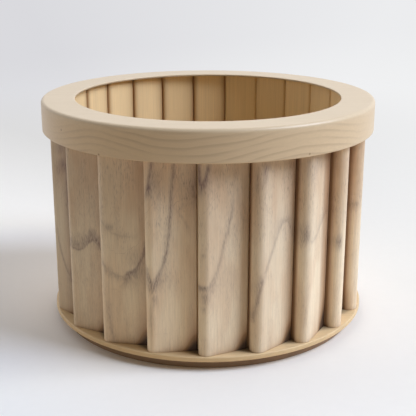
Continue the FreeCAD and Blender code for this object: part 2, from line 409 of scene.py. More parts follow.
def screw_material(finish):
    """Zinc-plated steel with fine turning lines and cloudy brightness."""
    material, bench = new_material("screw_zinc")
    place = object_millimetres(bench)
    cloud = bench.noise(place, (0.5, 0.5, 0.5), detail=3.0)
    lines = bench.noise(place, (0.6, 0.6, 9.0))
    base = bench.scaled(tuple(finish.screw_zinc), bench.slope(cloud, *NARROW, 0.85, 1.1))
    finish_surface(bench, base, bench.slope(lines, *NARROW, 0.28, 0.42), lines, 0.03 * MM, metallic=1.0)
    return material


def tray_material(finish):
    """Matt black moulded plastic with a fine spark-eroded texture and faint flow clouds."""
    material, bench = new_material("tray_plastic")
    place = object_millimetres(bench)
    grain = bench.noise(place, (2.6, 2.6, 2.6), detail=3.0)
    cloud = bench.noise(place, (0.02, 0.02, 0.05))
    base = bench.scaled(tuple(finish.tray_black), bench.slope(cloud, *NARROW, 0.8, 1.25))
    finish_surface(bench, base, bench.slope(grain, *NARROW, 0.42, 0.58), grain, 0.12 * MM)
    return material


def rounded_outline(corners, steps):
    """Points of a closed outline given as (x, y, rounding) corners, with arcs where the rounding isn't zero.

    The largest rounding gets the steps given, and smaller ones get fewer."""
    points = []
    largest = max(corner[2] for corner in corners)
    for index, (x, y, rounding) in enumerate(corners):
        here = Vector((x, y))
        if not rounding:
            points.append(here)
            continue
        before = (Vector(corners[index - 1][:2]) - here).normalized()
        after = (Vector(corners[(index + 1) % len(corners)][:2]) - here).normalized()
        half = before.angle(after) / 2
        centre = here + (before + after).normalized() * rounding / math.sin(half)
        start = here + before * rounding / math.tan(half) - centre
        sweep = start.angle_signed(here + after * rounding / math.tan(half) - centre)
        own_steps = max(3, round(steps * rounding / largest))
        for step in range(own_steps + 1):
            points.append(centre + turned(start, -sweep * step / own_steps))
    return points


def turned(point, angle):
    """A point of the XY plane, turned about the origin."""
    cosine, sine = math.cos(angle), math.sin(angle)
    return Vector((point[0] * cosine - point[1] * sine, point[0] * sine + point[1] * cosine))


def divided(points, longest, closed=True):
    """The same outline with no side longer than the length given. An open one keeps its last point."""
    result = []
    for here, after in zip(points, points[1:] + (points[:1] if closed else [])):
        pieces = max(1, math.ceil((after - here).length / longest))
        result += [here.lerp(after, piece / pieces) for piece in range(pieces)]
    return result if closed else result + points[-1:]


def inset(points, depth):
    """The outline of points, run anticlockwise, moved inwards."""
    moved = []
    for index, here in enumerate(points):
        before = (here - points[index - 1]).normalized()
        after = (points[(index + 1) % len(points)] - here).normalized()
        inward = Vector((-before.y - after.y, before.x + after.x)).normalized()
        lean = max(0.5, inward.dot(Vector((-after.y, after.x))))
        moved.append(here + inward * depth / lean)
    return moved


def upright_levels(bottom, top, ease, rows):
    """(height, inset) pairs from the bottom face to the top face, with eased ends."""
    steps = 3
    quarter = [math.pi / 2 * step / steps for step in range(steps + 1)]
    eased = [(ease * (1 - math.cos(angle)), ease * (1 - math.sin(angle))) for angle in quarter]
    lower = [(bottom + rise, back) for rise, back in eased]
    upper = [(top - rise, back) for rise, back in reversed(eased)]
    start, end = bottom + 2 * ease, top - 2 * ease
    middle = [(start + (end - start) * row / rows, 0.0) for row in range(rows + 1)]
    return lower + middle + upper


def band_faces(low, high, size):
    """Faces between two rings of points that start at the indices low and high."""
    around = [(index, (index + 1) % size) for index in range(size)]
    return [(low + index, low + after, high + after, high + index) for index, after in around]


def upright_mesh(name, outline, levels):
    """A closed upright solid through the outline at each (height, inset) level."""
    size = len(outline)
    vertices = []
    for height, back in levels:
        vertices += [(p.x, p.y, height) for p in (inset(outline, back) if back else outline)]
    faces = [tuple(reversed(range(size)))]
    for level in range(len(levels) - 1):
        faces += band_faces(level * size, (level + 1) * size, size)
    top = (len(levels) - 1) * size
    faces.append(tuple(range(top, top + size)))
    mesh = bpy.data.meshes.new(name)
    mesh.from_pydata(vertices, [], faces)
    return mesh


def shade_softly(mesh):
    """Points the faces outwards, and shades them smooth except across sharp edges."""
    edit = bmesh.new()
    edit.from_mesh(mesh)
    bmesh.ops.recalc_face_normals(edit, faces=edit.faces)
    edit.to_mesh(mesh)
    edit.free()
    mesh.polygons.foreach_set("use_smooth", [True] * len(mesh.polygons))
    mesh.set_sharp_from_angle(angle=math.radians(34.0))
    mesh.update()


def linked(name, mesh):
    made = bpy.data.objects.new(name, mesh)
    bpy.context.scene.collection.objects.link(made)
    return made


def evaluated_mesh(name, owner):
    """A plain mesh of what the object's modifiers make."""
    bpy.context.view_layer.update()
    graph = bpy.context.evaluated_depsgraph_get()
    result = owner.evaluated_get(graph)
    mesh = bpy.data.meshes.new_from_object(result, preserve_all_data_layers=True, depsgraph=graph)
    mesh.name = name
    return mesh


def section_wire(corners):
    """A temporary wire of a turned section from (radius, height, rounding) corners.

    Each rounding gets a support point on either side, so that the faces beside it stay flat."""
    support = 0.8 * MM
    points, roundings = [], []
    for index, (radius, height, rounding) in enumerate(corners):
        here = Vector((radius, height))
        if not rounding:
            points.append(here)
            roundings.append(0.0)
            continue
        before = Vector(corners[index - 1][:2]) - here
        after = Vector(corners[(index + 1) % len(corners)][:2]) - here
        tangent = rounding / math.tan(before.angle(after) / 2) + support
        points += [here + before.normalized() * tangent, here, here + after.normalized() * tangent]
        roundings += [0.0, rounding, 0.0]
    mesh = bpy.data.meshes.new("section")
    edges = [(index, (index + 1) % len(points)) for index in range(len(points))]
    mesh.from_pydata([(p.x, 0.0, p.y) for p in points], edges, [])
    mesh.attributes.new("rounding", "FLOAT", "POINT").data.foreach_set("value", roundings)
    return linked("section", mesh)


def geometry_tree(name, inputs):
    """A modifier's node tree with a geometry output and the inputs given as (name, kind, default)."""
    tree = bpy.data.node_groups.new(name, "GeometryNodeTree")
    tree.is_modifier = True
    for label, kind, default in inputs:
        socket = tree.interface.new_socket(label, in_out="INPUT", socket_type="NodeSocket" + kind)
        if default is not None:
            socket.default_value = default
    tree.interface.new_socket("Geometry", in_out="OUTPUT", socket_type="NodeSocketGeometry")
    bench = Bench(tree)
    return bench, bench.node("NodeGroupInput").outputs


def end_tree(bench, geometry, material):
    """Every tree ends by making its copies real and giving them their finish."""
    real = bench.node("GeometryNodeRealizeInstances", {0: geometry})
    dressed = bench.node("GeometryNodeSetMaterial", {"Geometry": real.outputs[0], "Material": material})
    bench.node("NodeGroupOutput", {0: dressed.outputs[0]})
    return bench.tree


def turning_tree():
    """Turns a closed section, drawn in the XZ plane, about the Z axis."""
    bench, given = geometry_tree("turn_section", (
        ("Section", "Object", None), ("Steps Around", "Int", 192), ("Steps per Rounding", "Int", 6),
        ("Finish", "Material", None),
    ))
    wire = bench.node("GeometryNodeObjectInfo", {"Object": given["Section"]}).outputs["Geometry"]
    curve = bench.node("GeometryNodeMeshToCurve", {0: wire}).outputs[0]
    rounding = bench.node("GeometryNodeInputNamedAttribute", {"Name": "rounding"}, data_type="FLOAT")
    fillet = bench.node("GeometryNodeFilletCurve", {
        "Curve": curve, "Count": given["Steps per Rounding"], "Radius": rounding.outputs[0],
        "Limit Radius": True,
    }, mode="POLY")
    section = bench.node("GeometryNodeCurveToMesh", {0: fillet.outputs[0]}).outputs[0]

    # A flat sheet, one row for each point of the section, is wrapped round the axis and closed
    points = bench.node("GeometryNodeAttributeDomainSize", {0: section}, component="MESH").outputs[0]
    rows = bench.plus(points, 1.0)
    columns = bench.plus(given["Steps Around"], 1.0)
    sheet = bench.node("GeometryNodeMeshGrid", {2: columns, 3: rows}).outputs[0]
    index = bench.node("GeometryNodeInputIndex").outputs[0]
    column = bench.math("FLOOR", bench.over(bench.plus(index, 0.5), rows))
    row = bench.minus(index, bench.times(column, rows))
    place = bench.node("GeometryNodeInputPosition").outputs[0]
    sampled = bench.node("GeometryNodeSampleIndex", {
        0: section, 1: place, 2: bench.math("MODULO", row, points),
    }, data_type="FLOAT_VECTOR", domain="POINT").outputs[0]
    radius, _, height = bench.parts(sampled)
    angle = bench.times(bench.over(column, given["Steps Around"]), FULL_TURN)
    wrapped = bench.round_axis(radius, angle, height)
    body = bench.node("GeometryNodeSetPosition", {"Geometry": sheet, "Position": wrapped}).outputs[0]
    closed = bench.node("GeometryNodeMergeByDistance", {"Geometry": body, "Distance": 0.01 * MM}).outputs[0]
    return end_tree(bench, closed, given["Finish"])


def circle_tree():
    """Sets copies of a master round the Z axis, each numbered in the attribute "number"."""
    bench, given = geometry_tree("copies_round_axis", (
        ("Master", "Object", None), ("Count", "Int", 20), ("First Turn", "Float", 0.0),
        ("Radius", "Float", 0.0), ("Height", "Float", 0.0), ("Turn Jitter", "Float", 0.0),
        ("Seed", "Int", 7), ("Finish", "Material", None),
    ))
    master = bench.node("GeometryNodeObjectInfo", {"Object": given["Master"]}).outputs["Geometry"]
    index = bench.node("GeometryNodeInputIndex").outputs[0]
    angle = bench.plus(bench.times(bench.over(index, given["Count"]), FULL_TURN), given["First Turn"])
    place = bench.round_axis(given["Radius"], angle, given["Height"])
    points = bench.node("GeometryNodePoints", {"Count": given["Count"], "Position": place}).outputs[0]
    limits = {2: -1.0, 3: 1.0, "Seed": given["Seed"]}
    chance = bench.node("FunctionNodeRandomValue", limits, data_type="FLOAT")
    spin = bench.times(chance.outputs[1], given["Turn Jitter"])
    euler = bench.node("ShaderNodeCombineXYZ", {2: bench.plus(angle, spin)}).outputs[0]
    rotation = bench.node("FunctionNodeEulerToRotation", {0: euler}).outputs[0]
    copies = bench.node("GeometryNodeInstanceOnPoints", {
        "Points": points, "Instance": master, "Rotation": rotation,
    }).outputs[0]
    numbered = bench.node("GeometryNodeStoreNamedAttribute", {
        "Geometry": copies, "Name": "number", "Value": index,
    }, data_type="INT", domain="INSTANCE").outputs[0]
    return end_tree(bench, numbered, given["Finish"])


def grown(name, tree, values, master):
    """Runs a tree with the values given by input name, and returns its result as a plain mesh."""
    carrier = linked("carrier", bpy.data.meshes.new("carrier"))
    modifier = carrier.modifiers.new("grow", "NODES")
    modifier.node_group = tree
    for item in tree.interface.items_tree:
        if item.in_out == "INPUT" and item.name in values:
            modifier[item.identifier] = values[item.name]
    mesh = evaluated_mesh(name, carrier)
    carrier.modifiers.remove(modifier)
    bpy.data.objects.remove(carrier)
    bpy.data.objects.remove(master)
    if not mesh.polygons:
        raise RuntimeError(f"{name}: the tree made nothing")
    shade_softly(mesh)
    return mesh


def tree_named(name, maker):
    """The tree of that name, made the first time it is asked for."""
    return bpy.data.node_groups.get(name) or maker()


def turned_mesh(name, corners, material, around=192):
    wire = section_wire(corners)
    values = {"Section": wire, "Steps Around": around, "Steps per Rounding": 6, "Finish": material}
    return grown(name, tree_named("turn_section", turning_tree), values, wire)


def circled_mesh(name, master_mesh, material, copies, first=0.0, radius=0.0, height=0.0, jitter=0.0):
    """Copies of the master mesh round the axis. The first one's angle is in degrees."""
    master = linked("master", master_mesh)
    values = {
        "Master": master, "Count": copies, "First Turn": math.radians(first), "Radius": radius,
        "Height": height, "Turn Jitter": jitter, "Finish": material,
    }
    return grown(name, tree_named("copies_round_axis", circle_tree), values, master)


def less(name, body_mesh, cutter_mesh):
    """The body's mesh with the cutter's cut away."""
    body, cutter = linked("body", body_mesh), linked("cutter", cutter_mesh)
    cut = body.modifiers.new("cut", "BOOLEAN")
    cut.object = cutter
    cut.operation = "DIFFERENCE"
    cut.solver = "EXACT"
    result = evaluated_mesh(name, body)
    for used in (body, cutter):
        bpy.data.objects.remove(used)
    return result


def settle(mesh, name, body, nodes):
    """Puts a finished mesh in the scene as a piece that stands for CAD nodes."""
    piece = linked(name, mesh)
    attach(piece, body)
    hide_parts(*nodes)


def store(mesh, name, values):
    """Keeps one value, or one vector, per point as an attribute for the material."""
    values = np.asarray(values, np.float32)
    kind, field = ("FLOAT_VECTOR", "vector") if values.ndim == 2 else ("FLOAT", "value")
    mesh.attributes.new(name, kind, "POINT").data.foreach_set(field, values.ravel())


def own_frame(mesh, first, copies):
    """Each point's board number, and its place in mm as that board has it.

    The place is how far outwards, how far sideways, and how high above the plate."""
    number = np.zeros(len(mesh.vertices), np.int32)
    mesh.attributes["number"].data.foreach_get("value", number)
    flat = np.zeros(len(mesh.vertices) * 3, np.float32)
    mesh.vertices.foreach_get("co", flat)
    place = flat.reshape(-1, 3).astype(float) / MM
    angle = -(math.radians(first) + FULL_TURN * number / copies)
    outwards = place[:, 0] * np.cos(angle) - place[:, 1] * np.sin(angle)
    sideways = place[:, 0] * np.sin(angle) + place[:, 1] * np.cos(angle)
    return number, outwards, sideways, place[:, 2] - plate_high.z / MM


def ramp(values, start, end):
    """0 up to the start, 1 from the end on, and a straight way between them."""
    return np.clip((values - start) / (end - start), 0, 1)


def hump(values, middle, width):
    """1 in the middle, falling away on both sides."""
    return np.exp(-((values - middle) / width) ** 2)


def tones(number, spread, seed):
    """A brightness near 1 for each board's number."""
    dice = random.Random(seed)
    table = np.array([1 + dice.uniform(-spread, spread) for _ in range(int(number.max()) + 1)])
    return table[number]


BELOW, ABOVE, BOTH = -1, 1, 0

# Marks of the slats, by slat number. A line is its points (across, height) in mm from left to right, its ink,
# how far it bleeds and on which side. A smudge is its centre, its half sizes and its ink.
LINES = {
    20: [
        ([(4, 98), (6, 91), (8, 86), (10.5, 82), (13, 84), (15.5, 90), (18.5, 97), (22, 106), (25, 120),
          (27, 138), (28.7, 160), (30, 185), (32, 204), (33.5, 220)], 0.70, 7, BELOW),
        ([(5, 186), (7, 190), (8.5, 197), (10.5, 207), (12.5, 220)], 0.80, 8, BELOW),
        ([(33, 168), (37, 160), (42, 152), (46, 141)], 0.22, 4, BOTH),
    ],
    1: [
        ([(-3, 79), (3, 80), (8, 79.5), (12, 81), (15.5, 87), (19, 94), (22, 103), (25, 115), (28, 129),
          (31.5, 143), (34, 154), (36, 166), (37, 174)], 0.48, 6, BELOW),
        ([(37, 174), (37.8, 190), (38.5, 220)], 0.18, 5, BOTH),
        ([(1.2, 220), (1.8, 205), (2.6, 197), (4, 194), (6.5, 198), (9.5, 206), (12.5, 220)], 0.95, 4, BELOW),
        ([(41, 190), (43, 175), (45, 160), (49, 150)], 0.16, 4, BOTH),
    ],
    2: [
        ([(0.5, 38), (3, 53), (6, 70), (10.5, 86)], 0.60, 4, ABOVE),
        ([(10.5, 86), (15, 98), (19, 108), (24, 120), (29, 132), (34, 141.5), (38, 145), (42, 145.3),
          (45, 143), (48, 136), (51, 128), (54, 121)], 0.42, 6, ABOVE),
        ([(8, 190), (10, 203), (13, 220)], 0.35, 4, BOTH),
    ],
    3: [
        ([(8, 121), (16, 120), (23, 124), (30, 131), (38, 137), (46, 143)], 0.32, 6, ABOVE),
        ([(6, 20), (7, 45), (9, 70)], 0.22, 3, BOTH),
    ],
    4: [([(8, 141), (30, 133), (50, 124)], 0.18, 6, BOTH)],
    5: [
        ([(12, 139), (22, 132), (30, 126), (38, 122.5)], 0.45, 5, ABOVE),
        ([(18, 63), (30, 52), (39, 43)], 0.26, 5, BOTH),
    ],
    19: [
        ([(3, 149), (11, 140), (14, 136), (18, 132), (25, 129), (33, 128), (41, 128)], 0.30, 4, BOTH),
        ([(1, 103), (8, 94), (12, 90), (16, 86), (20, 83.5), (26, 81), (32, 80)], 0.42, 4, BELOW),
        ([(31, 80), (34, 85.5), (38, 87.5), (41, 90), (44, 94), (48, 102), (51, 112),
          (53, 123)], 0.75, 8, BELOW),
        ([(12, 50), (13, 35), (15, 18), (17.5, 2)], 0.35, 3, BOTH),
    ],
    18: [
        ([(6, 101), (14, 99), (19, 97.5), (24, 100), (28, 104), (32, 108.5), (36, 111.5), (39, 112),
          (43, 109), (47, 103), (51, 98)], 0.72, 11, ABOVE),
    ],
    17: [([(14, 104), (18, 84), (22, 72), (27, 60), (33, 50), (38, 42), (41, 30)], 0.50, 10, BOTH)],
}
SMUDGES = {
    20: [(10, 78, 6, 9, 0.48), (12, 64, 4, 10, 0.26), (8, 42, 3, 22, 0.20), (13, 200, 5, 14, 0.26),
         (18, 184, 5, 12, 0.20), (51, 185, 4, 18, 0.34), (44, 190, 8, 40, 0.08), (48, 45, 2, 25, 0.12)],
    1: [(4, 80, 9, 3, 0.55), (8, 69, 5, 8, 0.34), (6, 56, 3, 4, 0.22), (3, 189, 4, 8, 0.42),
        (6, 117, 2, 2, 0.28), (40, 200, 3, 18, 0.10)],
    2: [(11, 204, 3, 14, 0.36), (15, 212, 4, 6, 0.25), (3, 196, 2, 16, 0.30), (4, 60, 2, 12, 0.20)],
    3: [(4, 130, 5, 13, 0.38), (17, 122, 8, 4, 0.18), (20, 205, 14, 9, 0.20), (5, 205, 5, 12, 0.22)],
    4: [(3, 107, 2.5, 9, 0.50), (25, 197, 20, 9, 0.12)],
    5: [(30, 127, 8, 4, 0.25), (37, 41, 3, 5, 0.28), (1, 135, 2, 6, 0.28), (46, 185, 5, 18, 0.20)],
    19: [(16, 137, 6, 5, 0.28), (42, 84, 8, 7, 0.30), (42, 101, 9, 14, 0.20), (14, 87, 6, 4, 0.24)],
    18: [(30, 110, 40, 150, 0.10), (18, 103, 5, 6, 0.50), (37, 119, 7, 8, 0.42), (28, 111, 7, 6, 0.34),
         (46, 106, 5, 6, 0.34), (36, 30, 10, 22, 0.14)],
    17: [(40, 150, 6, 44, 0.55), (33, 186, 10, 8, 0.45), (24, 180, 6, 9, 0.28), (28, 206, 9, 9, 0.30),
         (41, 90, 5, 50, 0.35), (38, 50, 7, 16, 0.40)],
}

# How much lighter or darker than its neighbours each slat of the photo is
SLAT_TONES = {1: 0.01, 2: -0.04, 3: 0.02, 4: 0.10, 5: 0.06, 17: -0.16, 18: -0.09, 19: 0.01, 20: 0.08}

# Slats with more painted shade towards the tail: number, strength, and where across the shade begins and is
# full, in mm
PAINTED_TAIL_SHADE = ((2, 0.10, 35, 41), (3, 0.36, 35, 41), (4, 0.12, 35, 41), (17, 0.32, 22, 38))

# A gap in mm at which no line can show
FAR_OFF = 60.0


def chance_marks(number):
    """Marks for a slat that has none listed: one or two open V shapes or arches, and a few smudges."""
    dice = random.Random(4100 + number)
    lines = []
    for _ in range(dice.choice((1, 2, 2))):
        tip = (dice.uniform(6, 42), dice.uniform(35, 185))
        up = dice.choice((1, -1))
        tall = dice.uniform(45, 130)
        left, right = dice.uniform(6, 22), dice.uniform(12, 34)
        arm = [step / 6 for step in range(7)]
        points = [(tip[0] - left * s ** 0.75, tip[1] + up * tall * 0.5 * s ** 1.35) for s in reversed(arm)]
        points += [(tip[0] + right * s ** 0.8, tip[1] + up * tall * s ** 1.5) for s in arm[1:]]
        lines.append((points, dice.uniform(0.45, 0.95), dice.uniform(6, 9), BELOW if up > 0 else ABOVE))
    smudges = [(dice.uniform(2, 46), dice.uniform(20, 200), dice.uniform(3, 8), dice.uniform(6, 24),
                dice.uniform(0.12, 0.4)) for _ in range(dice.choice((1, 2, 3)))]
    return lines, smudges


def rounded_line(points, steps=6):
    """A smooth run through the points (a Catmull-Rom curve)."""
    points = [np.array(p, float) for p in points]
    points = [2 * points[0] - points[1]] + points + [2 * points[-1] - points[-2]]
    run = []
    for a, b, c, d in zip(points, points[1:], points[2:], points[3:]):
        for step in range(steps):
            t = step / steps
            run.append(0.5 * (2 * b + (c - a) * t + (2 * a - 5 * b + 4 * c - d) * t * t
                              + (3 * b - a - 3 * c + d) * t ** 3))
    run.append(points[-2])
    return np.array(run)


def gap_to_line(place, run):
    """Signed distance of each place from the run, positive on its left, and how far along it lies, 0 to 1."""
    best = np.full(len(place), 1e9)
    signed = np.full(len(place), 1e9)
    along = np.zeros(len(place))
    for number, (start, end) in enumerate(zip(run, run[1:])):
        way = end - start
        offset = place - start
        t = np.clip(offset @ way / (way @ way), 0, 1)
        gap = np.linalg.norm(offset - t[:, None] * way, axis=1)
        nearer = gap < best
        side = np.sign(way[0] * offset[:, 1] - way[1] * offset[:, 0])
        best[nearer] = gap[nearer]
        signed[nearer] = (gap * np.where(side == 0, 1, side))[nearer]
        along[nearer] = ((number + t) / (len(run) - 1))[nearer]
    return signed, along


def bled_ink(place, signed, line):
    """The stain round a line: it spreads to the line's own side, most at its tip, and has a soft edge."""
    points, strength, reach, side = line
    distance = np.abs(signed)
    own_side = np.full(len(place), 0.5) if side == BOTH else (np.sign(signed) == side).astype(float)
    heights = [point[1] for point in points]
    tip = max(heights) if side == ABOVE else min(heights)
    pooled = 0.25 + 0.75 * hump(place[:, 1], tip, 16)
    spread = 0.8 * strength * pooled * np.exp(-distance / reach) * (0.15 + 0.85 * own_side)
    edge = 0.40 * strength * hump(distance, 0, 2.8)
    return np.maximum(spread, edge)


def mark_slats(mesh, number, across, height):
    """Works out each point's distance from the nearest line, that line's ink, and the stain round it."""
    line_gap = np.full(len(across), FAR_OFF)
    line_ink = np.zeros(len(across))
    stain = np.zeros(len(across))
    for index in range(len(slat_nodes)):
        mine = number == index
        place = np.stack([across[mine], height[mine]], 1)
        lines, smudges = LINES.get(index + 1), SMUDGES.get(index + 1, [])
        if lines is None:
            lines, smudges = chance_marks(index + 1)
        gap, ink, cloud = np.full(len(place), FAR_OFF), np.zeros(len(place)), np.zeros(len(place))
        for line in lines:
            signed, along = gap_to_line(place, rounded_line(line[0]))
            faint_ends = 0.35 + 0.65 * np.clip(np.minimum(along, 1 - along) * 12, 0, 1)
            nearer = np.abs(signed) < np.abs(gap)
            gap[nearer] = signed[nearer]
            ink[nearer] = (line[1] * faint_ends)[nearer]
            cloud = np.maximum(cloud, bled_ink(place, signed, line))
        for u, v, half_u, half_v, strength in smudges:
            smudge = strength * hump(place[:, 0], u, half_u) * hump(place[:, 1], v, half_v)
            cloud = np.maximum(cloud, smudge)
        line_gap[mine], line_ink[mine], stain[mine] = gap, ink, cloud
    store(mesh, "line_gap", line_gap)
    store(mesh, "line_ink", line_ink)
    store(mesh, "stain", stain)


def paint_crevice_shade(mesh, number, across, outwards, height):
    """Painted shade where a slat's tail tucks in beside the next one, most of all at the foot, and behind
    each rounded end.
    """
    tail = 0.17 * hump(across, 50.0, 7.0)
    for slat, strength, start, full in PAINTED_TAIL_SHADE:
        tail = tail + np.where(number == slat - 1, strength * ramp(across, start, full), 0.0)
    # Painted shade on the side face behind each rounded end
    behind_nose = 0.62 * ramp(across, 4.0, 0.5) * ramp(outwards, 184, 179)
    depth = 0.30 * np.exp((across - 27) / 20) + 3.0 * ramp(across, 38, 52) ** 2
    foot = 1 - np.exp(-depth * np.exp(-height / 9.5)) + 0.2 * np.exp(-height / 2.0)
    store(mesh, "painted_crevice_shade", np.clip(tail + behind_nose + foot, 0, 0.97))


def slat_outline(sizes):
    """The section of a slat whose rounded end lies on the X axis, its tail towards +Y, run anticlockwise."""
    nose, back = sizes.nose_radius, sizes.slat_back_radius
    side = nose + sizes.slat_gap
    pitch = FULL_TURN / sizes.slat_count
    tail = back + sizes.tail_thickness
    tip = turned((math.sqrt(tail ** 2 - side ** 2), -side), pitch)
    foot = turned((math.sqrt(back ** 2 - side ** 2), -side), pitch)
    run = Vector((sizes.nose_centre - tip.x, -tip.y))
    direction = math.atan2(run.y, run.x) + math.asin(nose / run.length)
    shoulder = tip.x + (-nose - tip.y) / math.sin(direction) * math.cos(direction)
    start = Vector((math.sqrt(back ** 2 - nose ** 2), -nose))
    corners = [(start.x, start.y, 0), (shoulder, -nose, nose), (tip.x, tip.y, sizes.tail_round),
               (foot.x, foot.y, 0)]
    front = divided(rounded_outline(corners, steps=10), longest=2.6 * MM, closed=False)
    first, last = math.atan2(foot.y, foot.x), math.atan2(start.y, start.x)
    hollow = [turned((back, 0), first + (last - first) * step / 10) for step in range(1, 10)]
    return front + hollow


def make_slats(sizes, finish):
    levels = upright_levels(slat_low.z, slat_high.z, ease=0.7 * MM, rows=76)
    master = upright_mesh("slat", slat_outline(sizes), levels)
    mesh = circled_mesh("slats", master, slat_material(finish), sizes.slat_count, FIRST_SLAT)
    number, outwards, sideways, height = own_frame(mesh, FIRST_SLAT, sizes.slat_count)
    across = sideways + sizes.nose_radius / MM
    mark_slats(mesh, number, across, height)
    paint_crevice_shade(mesh, number, across, outwards, height)
    store(mesh, "board", np.stack([across + 91.0 * number, outwards, height + 37.0 * number], 1))
    tone = tones(number, spread=0.035, seed=12)
    for slat, change in SLAT_TONES.items():
        tone[number == slat - 1] += change
    store(mesh, "tone", tone)
    settle(mesh, "slats", "planter", slat_nodes)


def make_staves(sizes, finish):
    """The drum's staves. Those on the right are a little darker with painted shade, and their seams carry
    less stain and painted shade.
    """
    half = math.pi / sizes.stave_count
    slope, joint = math.tan(half), 0.05 * MM / math.cos(half)
    flat, outside = sizes.stave_flat, sizes.drum_radius
    edge = half - joint / outside
    corners = [(flat, -flat * slope + joint, sizes.stave_round)]
    corners += [(*turned((outside, 0), edge * (step / 4 - 1)), 0) for step in range(9)]
    corners.append((flat, flat * slope - joint, sizes.stave_round))
    outline = divided(rounded_outline(corners, steps=5), longest=3 * MM)
    levels = upright_levels(stave_low.z, stave_high.z, ease=0.5 * MM, rows=6)
    master = upright_mesh("stave", outline, levels)
    mesh = circled_mesh("staves", master, stave_material(finish), sizes.stave_count, FIRST_STAVE)
    number, outwards, sideways, height = own_frame(mesh, FIRST_STAVE, sizes.stave_count)
    store(mesh, "board", np.stack([sideways + 77.0 * number, outwards, height + 53.0 * number], 1))
    # Painted shade on the staves at the right
    painted_side_shade = np.where(number > 0.68 * sizes.stave_count, -0.12, 0.0)
    # Painted light on the drum's outside, which shows only in the shaded gaps between the slats
    on_outside = outwards > outside / MM - 1.0
    store(mesh, "tone", tones(number, spread=0.03, seed=31) + np.where(on_outside, 0.20, painted_side_shade))
    # Seams of dark stain and painted shade: strong on the lit left and back left, faint elsewhere, with a
    # wider painted shade on one side of each seam
    to_seam = np.clip(flat * slope / MM - np.abs(sideways), 0, None)
    strength = np.where(number < 0.4 * sizes.stave_count, 0.88, 0.13)
    faded = np.where(sideways < 0, 0.42, 0.0) * hump(to_seam, 0, 9.0)
    store(mesh, "seam", strength * np.maximum(hump(to_seam, 0, 4.4), faded))
    settle(mesh, "staves", "planter", stave_nodes)


def make_ring(sizes, finish):
    rebate_top = sizes.ring_top - sizes.ring_lip
    mesh = turned_mesh("top_ring", [
        (sizes.opening_radius, rebate_top, 0.6 * MM),
        (sizes.opening_radius, sizes.ring_top, 1.0 * MM),
        (sizes.ring_radius, sizes.ring_top, sizes.ring_round),
        (sizes.ring_radius, sizes.ring_bottom, 1.0 * MM),
        (sizes.rebate_radius, sizes.ring_bottom, 0),
        (sizes.rebate_radius, rebate_top, 0),
    ], ring_material(finish), around=256)
    settle(mesh, "top_ring", "planter", ["top_ring"])


def disc_mesh(name, radius, low, high, ease, material):
    """A round board with eased edges."""
    return turned_mesh(name, [(0, low, 0), (radius, low, ease), (radius, high, ease), (0, high, 0)], material)


def make_plate(sizes, finish):
    maple = plate_material(finish)
    mesh = disc_mesh("base_plate", sizes.plate_radius, plate_low.z, plate_high.z, 1.2 * MM, maple)
    settle(mesh, "base_plate", "planter", ["base_plate"])


def make_plinth(sizes, finish):
    """The stained plinth, with a shallow sink for the head of each of its screws."""
    stained = clean_wood("plinth_wood", finish.plinth_brown, 0.7, (0.012, 0.5, 0.9))
    disc = disc_mesh("plinth", sizes.plinth_radius, plinth_low.z, plinth_high.z, 0.8 * MM, stained)
    sink_radius, sink_depth, around = 3.6 * MM, 1.2 * MM, 32
    outline = [turned((sink_radius, 0), FULL_TURN * step / around) for step in range(around)]
    sink = upright_mesh("sink", outline, [(-1 * MM, 0.0), (sink_depth, 0.0)])
    sinks = circled_mesh("sinks", sink, stained, sizes.plinth_screw_count, radius=sizes.plinth_screw_radius)
    mesh = less("plinth", disc, sinks)
    shade_softly(mesh)
    settle(mesh, "plinth", "planter", ["plinth"])


def make_dowels(sizes, finish):
    """Fluted dowels, half in the slats and half in the ring."""
    radius, half, groove, chamfer, around = 3 * MM, 12 * MM, 0.25 * MM, 0.8 * MM, 36
    reaches = [radius - (step % 3 == 1) * groove for step in range(around)]
    outline = [turned((reach, 0), FULL_TURN * step / around) for step, reach in enumerate(reaches)]
    levels = [(-half, chamfer), (-half + chamfer, 0.0), (half - chamfer, 0.0), (half, chamfer)]
    beech = clean_wood("dowel_beech", finish.dowel_beech, 0.85, (0.9, 0.9, 0.05))
    master = upright_mesh("dowel", outline, levels)
    mesh = circled_mesh("slat_dowels", master, beech, sizes.slat_count, FIRST_SLAT, sizes.nose_centre,
                        sizes.ring_bottom, jitter=3.0)
    settle(mesh, "slat_dowels", "planter", ["slat_dowels"])


